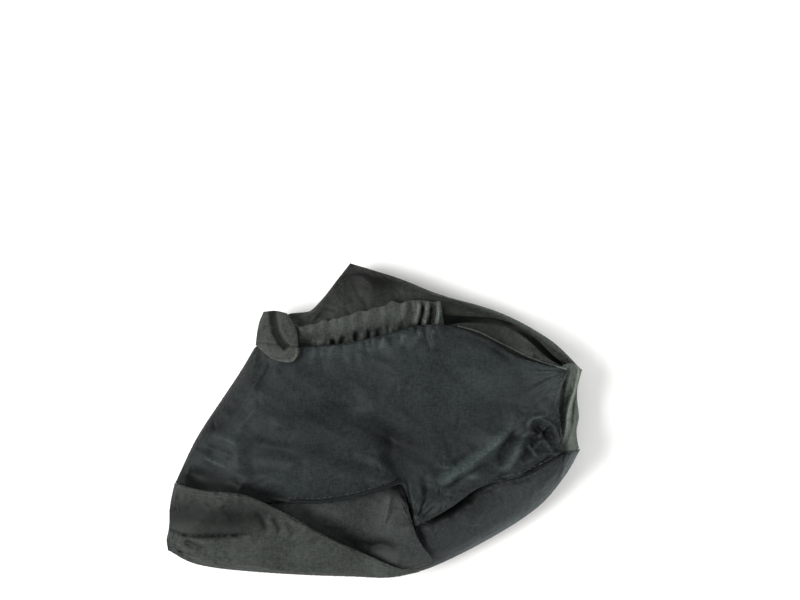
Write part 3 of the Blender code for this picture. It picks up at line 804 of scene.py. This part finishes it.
frontSleeve = {
    "cap": 1.0, "grow": 0.03, "pressure": 3.0, "even": 6,
    "refine": False, "fill": 0.2, "finish": "woven polyester, front sleeve",
    "colour": "#242929", "turn": -8, "slot": "front_cloth",
    "tips": ((567, 369), (175, 483), (563, 449)),
    "fine": (((540, 435), 14.0), ((512, 455), 11.0), ((560, 385), 12.0), ((450, 482), 9.0),
             ((413, 505), 9.0)),
    "folds": (
        ("soft", 4.5, -1.5, ((298, 398), (340, 415), (380, 430), (410, 445), (444, 462))),
        ("soft", 5.0, 1.0, ((310, 385), (350, 398), (400, 418), (440, 436))),
        ("soft", 2.0, -1.2, ((382, 420), (391, 443), (388, 455), (395, 468), (406, 481))),
        ("soft", 2.4, 1.0, ((378, 440), (378, 456), (388, 474))),
        ("crease", 0.8, -1.0, ((407, 478), (411, 500), (412, 516))),
        ("soft", 1.1, 1.3, ((420, 476), (421, 492), (416, 512))),
        ("crease", 0.7, -1.1, ((428, 480), (426, 496), (418, 514))),
        ("soft", 1.7, 2.4, ((432, 486), (446, 477), (470, 462), (492, 446), (517, 420))),
        ("crease", 0.8, -1.6, ((447, 469), (462, 461), (480, 450))),
        ("soft", 1.2, -1.3, ((455, 488), (472, 482), (492, 478), (515, 470))),
        ("soft", 1.3, 1.2, ((440, 491), (455, 483), (470, 477))),
        ("crease", 0.7, -1.3, ((436, 478), (442, 485), (438, 494))),
        ("soft", 1.4, 1.8, ((526, 432), (518, 445), (512, 456), (502, 470))),
        ("soft", 1.7, -1.7, ((518, 426), (509, 440), (503, 450), (496, 464))),
        ("soft", 1.6, -1.3, ((535, 444), (527, 450), (520, 460))),
        ("crease", 0.55, -1.6, ((552, 451), (538, 461), (529, 469), (522, 473))),
        ("soft", 1.2, 0.8, ((548, 458), (537, 467), (528, 475))),
        ("soft", 0.9, 1.4, ((526, 425), (532, 417), (543, 415))),
        ("soft", 0.8, 1.6, ((538, 417), (548, 421), (553, 426), (555, 434), (556, 446))),
        ("soft", 2.2, -1.1, ((530, 426), (540, 430), (550, 433))),
        ("soft", 0.8, 1.2, ((529, 452), (537, 442), (544, 438))),
        ("soft", 0.9, 1.0, ((541, 435), (546, 443), (553, 450))),
        ("soft", 0.8, 1.3, ((526, 442), (531, 448), (534, 454))),
        ("crease", 0.6, -1.2, ((536, 424), (543, 430), (550, 430))),
        ("soft", 0.9, 1.1, ((520, 436), (528, 431), (537, 432))),
        ("soft", 0.8, 1.0, ((547, 424), (541, 430), (538, 438))),
        ("ray", 1.8, 1.0, ((562, 449), (540, 452), (520, 462))),
        ("ray", 1.6, -1.2, ((562, 449), (545, 446), (524, 451))),
        ("ray", 2.0, 1.3, ((566, 371), (548, 374), (520, 380))),
        ("ray", 1.6, -1.0, ((566, 371), (545, 368), (520, 366))),
        ("ray", 2.2, 1.2, ((566, 372), (554, 390), (548, 412))),
        ("ray", 1.5, -1.2, ((566, 372), (560, 392), (557, 418))),
        ("soft", 3.2, -1.3, ((246, 394), (230, 418), (206, 438))),
        ("soft", 3.0, 1.1, ((262, 380), (250, 410), (232, 434))),
        ("soft", 3.4, -0.9, ((262, 432), (252, 460), (262, 488))),
        ("soft", 4.0, -3.0, ((168, 470), (205, 480), (235, 483), (266, 494), (300, 508))),
        ("soft", 3.0, -0.8, ((252, 380), (248, 410), (248, 445), (252, 470))),
        ("soft", 2.4, -1.1, ((240, 440), (270, 446), (305, 449), (345, 444))),
        ("soft", 2.2, 0.9, ((250, 456), (300, 462), (350, 458))),
        ("soft", 2.0, -1.1, ((200, 440), (214, 430), (228, 420))),
        ("soft", 1.5, 1.2, ((208, 434), (225, 437), (245, 447))),
        ("soft", 1.3, -1.2, ((204, 446), (220, 450), (238, 458))),
        ("soft", 1.5, 1.3, ((201, 455), (214, 461), (231, 467))),
        ("soft", 3.0, 0.9, ((318, 408), (300, 420), (270, 424))),
        ("soft", 5.0, 0.8, ((300, 450), (330, 470), (370, 480))),
        ("soft", 3.0, -0.8, ((400, 352), (440, 366), (480, 372))),
        ("soft", 4.0, 0.8, ((420, 340), (460, 350), (500, 366))),
        ("soft", 3.0, -0.7, ((470, 402), (500, 398), (530, 404))),
        ("soft", 1.6, -0.9, ((488, 343), (500, 352), (514, 362))),
        ("soft", 1.0, 1.0, ((385, 336), (383, 342), (381, 350))),
        ("soft", 1.0, 1.0, ((405, 332), (403, 339), (401, 346))),
        ("soft", 1.1, 1.0, ((420, 329), (417, 337), (414, 346))),
        ("soft", 0.9, 0.8, ((434, 327), (432, 333), (431, 341))),
    ),
    "puckers": (
        (2.0, 3.2, 0.9, 71, ((290, 350), (335, 349), (357, 344), (380, 340), (400, 334),
                             (430, 329))),
        (3.4, 6.0, 0.6, 72, ((290, 354), (335, 353), (380, 346), (430, 336))),
        (2.4, 2.2, 0.35, 73, ((283, 498), (320, 499), (350, 494), (380, 486), (402, 478))),
    ),
    "fans": (
        ((569, 370), 34, 26, 0.7, 81),
        ((564, 450), 22, 18, 0.4, 82),
        ((413, 520), 34, 18, 0.6, 83),
    ),
    "patches": (
        ((540, 431), 9, 8, 25, 4.4, 0.7, 3),
        ((512, 454), 9, 6, 45, 4.0, 0.7, 4),
        ((452, 484), 9, 4.5, 25, 3.6, 1.0, 5),
    ),
    # Painted shadow beside the flap's edge, painted shade in valleys and creases, painted
    # highlights on ridges and crumples
    "paintedLight": (
        ("soft", 4.6, -0.90, ((150, 478), (205, 483), (236, 487), (266, 497), (310, 514),
                              (350, 534))),
        ("soft", 9.0, -0.30, ((285, 330), (235, 385), (205, 430), (170, 500))),
        ("soft", 5.0, -0.25, ((246, 394), (228, 420), (205, 438))),
        ("soft", 11.0, 0.32, ((385, 372), (450, 378), (520, 382))),
        ("soft", 4.6, -0.42, ((298, 398), (340, 415), (380, 430), (410, 445), (444, 462))),
        ("soft", 3.0, -0.35, ((246, 440), (275, 445), (305, 449), (345, 444))),
        ("soft", 1.6, 0.5, ((208, 434), (225, 437), (245, 447))),
        ("soft", 1.6, 0.6, ((201, 455), (214, 461), (231, 467))),
        ("soft", 3.0, -0.30, ((384, 424), (391, 443), (388, 455), (395, 468), (406, 481))),
        ("soft", 1.9, 2.0, ((430, 486), (446, 475), (470, 460), (492, 444), (522, 416))),
        ("soft", 0.9, 0.9, ((455, 483), (466, 476), (480, 470))),
        ("soft", 0.9, -0.5, ((440, 488), (456, 478), (474, 468), (488, 458))),
        ("soft", 4.0, 0.45, ((512, 362), (535, 370), (556, 382))),
        ("soft", 1.4, -0.5, ((446, 466), (462, 457), (482, 445))),
        ("soft", 1.4, 1.6, ((528, 428), (518, 445), (512, 456), (500, 473))),
        ("soft", 1.8, -0.5, ((516, 430), (509, 440), (503, 450), (498, 462))),
        ("soft", 2.0, -0.5, ((536, 443), (527, 450), (519, 461))),
        ("soft", 0.8, 1.5, ((524, 427), (532, 417), (545, 415))),
        ("soft", 0.7, 1.1, ((536, 417), (548, 421), (553, 426), (555, 434), (556, 448))),
        ("soft", 0.8, 1.0, ((520, 436), (528, 431), (537, 432))),
        ("soft", 0.7, 0.9, ((546, 425), (541, 430), (538, 437))),
        ("soft", 0.7, 0.8, ((530, 452), (538, 441), (543, 438))),
        ("soft", 0.9, 0.7, ((541, 436), (546, 443), (552, 453))),
        ("soft", 0.8, 1.4, ((524, 440), (531, 448), (536, 456))),
        ("soft", 2.2, -0.5, ((526, 452), (536, 430), (549, 432))),
        ("soft", 5.0, -0.52, ((518, 428), (540, 432), (564, 438))),
        ("soft", 3.0, 0.75, ((548, 362), (556, 382), (552, 402))),
        ("soft", 3.0, 0.50, ((290, 352), (340, 352), (400, 340), (430, 334))),
        ("soft", 2.0, 0.40, ((500, 466), (510, 454), (524, 440))),
        ("soft", 2.0, -0.40, ((488, 345), (500, 354), (512, 362))),
        ("soft", 1.0, 0.9, ((385, 336), (383, 342), (381, 350))),
        ("soft", 1.0, 0.9, ((405, 332), (403, 339), (401, 346))),
        ("soft", 1.1, 0.9, ((420, 329), (417, 337), (414, 346))),
        ("soft", 0.9, 0.7, ((434, 327), (432, 333), (431, 341))),
        ("soft", 1.2, -0.5, ((394, 335), (392, 340), (391, 346))),
    ),
    "slack": ((14.0, 1.6, -22, 91), (6.5, 1.1, -26, 92), (3.0, 0.30, -15, 93)),
}
frontSleevePly = plyFrom("front_sleeve", "frontSleeve", frontSleeve)

cornerTab = {
    "levels": 3, "refine": False, "even": 6, "fill": 0.1, "finish": "woven polyester, corner tab",
    "colour": "#3b3e3a", "turn": 20, "slot": "neck_cloth",
    "tips": ((263, 312), (287, 313), (256, 345)),
    "folds": (
        ("bead", 1.6, -1.5, ((272, 304), (274, 322), (277, 333), (282, 341), (289, 349))),
        ("soft", 1.5, 0.4, ((265, 312), (263, 328), (261, 344))),
        ("soft", 1.2, 0.5, ((279, 310), (282, 326), (287, 337), (292, 346))),
        ("crease", 0.35, -0.6, ((250, 342), (268, 343), (282, 344.5), (305, 347))),
        ("bead", 0.6, 0.5, ((253, 346), (263, 354), (270.5, 358.5), (277, 360.5), (285, 361),
                            (293, 361), (297, 357), (298.5, 351), (298, 345))),
    ),
    # Painted shade in the tab's crease, painted highlight along its hem
    "paintedLight": (
        ("bead", 1.75, -0.80, ((272, 304), (274, 322), (277, 333), (282, 341), (289, 349))),
        ("soft", 1.5, -0.30, ((258, 326), (261, 342))),
        ("soft", 0.7, 0.8, ((250, 344), (263, 354), (270.5, 358.5), (277, 360.5), (285, 361),
                            (293, 361), (297, 357), (299, 350), (298, 342))),
        ("soft", 0.5, -0.4, ((250, 342), (268, 343), (282, 344.5), (305, 347))),
    ),
    "slack": ((4.0, 0.35, 60, 101),),
}
plyFrom("corner_tab", "cornerTab", cornerTab)

endFlap = {
    "cap": 0.8, "grow": 0.025, "pressure": 2.0, "tips": ((175, 483), (165, 553), (421, 570)),
    "fill": 0.15, "finish": "woven polyester, end flap",
    "colour": "#373b38", "turn": 6, "slot": "flap_cloth",
    "folds": (
        ("crease", 0.8, -1.9, ((160, 528), (184, 535), (220, 535), (256, 534))),
        ("soft", 2.0, 0.8, ((172, 541), (200, 541), (245, 541))),
        ("soft", 1.2, -1.4, ((180, 541), (194, 544), (206, 551))),
        ("crease", 0.5, -1.2, ((164, 551), (172, 548), (184, 556))),
        ("soft", 1.1, 0.9, ((168, 538), (184, 547), (200, 556))),
        ("soft", 1.6, -0.8, ((206, 500), (214, 510), (223, 521))),
        ("soft", 1.6, 0.7, ((218, 498), (226, 512), (232, 524))),
        ("soft", 1.3, -1.1, ((256, 507), (262, 519), (268, 533))),
        ("soft", 1.2, -1.1, ((272, 514), (277, 524), (282, 534))),
        ("soft", 1.2, -1.0, ((286, 520), (290, 528), (295, 537))),
        ("bead", 0.7, 0.4, ((178, 492), (225, 495), (250, 495), (268, 505), (290, 517), (330, 539),
                            (370, 560), (395, 569))),
        ("soft", 5.0, 0.8, ((220, 556), (280, 558), (350, 562))),
        ("soft", 5.0, 1.0, ((130, 520), (200, 524), (262, 526))),
    ),
    "puckers": (
        (3.0, 4.5, 0.5, 111, ((178, 496), (225, 498), (250, 499), (290, 521), (330, 543))),
    ),
    "fans": (
        ((168, 552), 30, 18, 0.6, 121),
        ((176, 486), 30, 16, 0.4, 122),
    ),
    # Painted shade on the flap's upper part and in its creases and buckles, painted highlights on
    # the buckle ridges
    "paintedLight": (
        ("soft", 7.0, -0.62, ((100, 510), (195, 510), (300, 516))),
        ("soft", 5.0, -0.30, ((120, 516), (195, 518), (262, 522))),
        ("soft", 0.9, -0.6, ((162, 530), (184, 536), (220, 535), (256, 534))),
        ("soft", 1.4, -0.45, ((178, 541), (194, 544), (207, 551))),
        ("soft", 3.0, -0.25, ((150, 545), (165, 548), (190, 556))),
        ("soft", 1.5, -0.45, ((256, 507), (262, 519), (268, 533))),
        ("soft", 1.3, -0.45, ((272, 514), (277, 524), (282, 534))),
        ("soft", 1.2, -0.40, ((286, 520), (290, 528), (295, 537))),
        ("soft", 1.2, 0.45, ((266, 511), (271, 522), (275, 532))),
        ("soft", 1.2, 0.40, ((281, 517), (285, 526), (290, 536))),
    ),
    "slack": ((9.0, 0.7, 8, 131), (3.2, 0.2, -12, 132)),
}
plyFrom("end_flap", "endFlap", endFlap)

# Small sewn things that lie on the finished plies

def layOn(items, route, step, clear):
    # Even stations along a route of photo pixels, each on the highest of the given plies
    trees = [BVHTree.FromObject(item, bpy.context.evaluated_depsgraph_get()) for item in items]
    corners = np.array([fromPhoto(*pixel) for pixel in route])
    walked = np.concatenate(([0.0], np.cumsum(np.linalg.norm(np.diff(corners, axis=0), axis=1))))
    places = []
    for walk in np.linspace(0.0, walked[-1], max(2, round(walked[-1] * perMetre / step))):
        x, y = (float(np.interp(walk, walked, corners[:, axis])) for axis in (0, 1))
        hits = [tree.ray_cast(Vector((x, y, 1.0)), Vector((0.0, 0.0, -1.0)))[0] for tree in trees]
        tops = [hit.z for hit in hits if hit is not None]
        if tops:
            places.append(Vector((x, y, max(tops) + clear / perMetre)))
    return places


def tubeAlong(name, places, plan):
    bpy.ops.curve.primitive_nurbs_path_add()
    tube = bpy.context.object
    tube.name = name
    spline = tube.data.splines[0]
    spline.points.add(len(places) - len(spline.points))
    for point, spot in zip(spline.points, places):
        point.co = (*spot, 1.0)
        point.radius = 1.0
    tube.data.bevel_depth = plan["radius"] / perMetre
    tube.data.bevel_resolution = plan["roundness"]
    tube.data.resolution_u = plan["lengthwise"]
    tube.data.use_fill_caps = True
    bpy.ops.object.convert(target="MESH")
    smoothShade(bpy.context.object, plan["shadeDegrees"])
    return bpy.context.object


# The piping's colour is paler than the cloth: a painted highlight along the bead
piping = {
    "radius": 0.36, "step": 1.6, "clear": 0.05, "roundness": 2, "lengthwise": 3, "shadeDegrees": 50,
    "finish": "polyester piping, painted highlight", "colour": "#5f6561", "turn": 30,
    "route": ((457, 326), (470, 329), (480, 332.5), (490, 337.5), (500, 343), (510, 347.5),
              (518, 352), (530, 357.5), (545, 363), (557, 366.5), (565, 368.5)),
}
pipingPlaces = layOn([frontSleevePly, neckWallPly], piping["route"], piping["step"],
                     piping["clear"])
neckPiping = tubeAlong("neckPiping", pipingPlaces, piping)
neckPiping.data.materials.append(wovenPolyester(piping["finish"], piping["colour"], piping["turn"]))
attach(neckPiping, "root")
print("piping laid")

stitching = {
    "length": 1.9, "pitch": 2.3, "width": 0.26, "height": 0.22, "segments": 6, "rings": 4,
    "finish": "polyester sewing thread", "colour": "#4d5350", "turn": 0,
    "rows": (
        ("frontSleeve", ((288, 496), (320, 497), (350, 492), (380, 484.5), (400, 478))),
        ("frontSleeve", ((488, 479), (505, 473.5), (522, 470), (540, 461), (556, 452))),
        ("outerRoll", ((476, 492), (500, 482), (525, 477), (545, 466), (560, 456))),
    ),
}


def sewRows(name, plan):
    # Each stitch is a ball one millimetre across, stretched to the thread's size
    stitches = []
    for plyName, route in plan["rows"]:
        places = layOn([bpy.data.objects[plyName]], route, plan["pitch"], 0.0)
        for before, spot in zip(places, places[1:]):
            heading = (spot - before).to_track_quat("X", "Z").to_euler()
            bpy.ops.mesh.primitive_uv_sphere_add(
                segments=plan["segments"], ring_count=plan["rings"], radius=0.5 / perMetre,
                location=(before + spot) / 2, rotation=heading)
            stitch = bpy.context.object
            stitch.scale = (plan["length"], plan["width"], plan["height"])
            stitches.append(stitch)
    choose(stitches[0])
    for stitch in stitches:
        stitch.select_set(True)
    bpy.ops.object.join()
    bpy.ops.object.transform_apply(location=True, rotation=True, scale=True)
    bpy.context.object.name = name
    bpy.ops.object.shade_smooth()
    return bpy.context.object


threads = sewRows("seamStitches", stitching)
threads.data.materials.append(wovenPolyester(stitching["finish"], stitching["colour"],
                                             stitching["turn"]))
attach(threads, "root")
print("stitches sewn")

# The welt keeps its own shape and gets a darker weave
rimWelt = {"finish": "polyester welt", "colour": "#15191a", "turn": 35}
weltCloth = wovenPolyester(rimWelt["finish"], rimWelt["colour"], rimWelt["turn"])
for slot in bpy.data.objects["rim_welt"].material_slots:
    slot.material = weltCloth
print("welt finished")
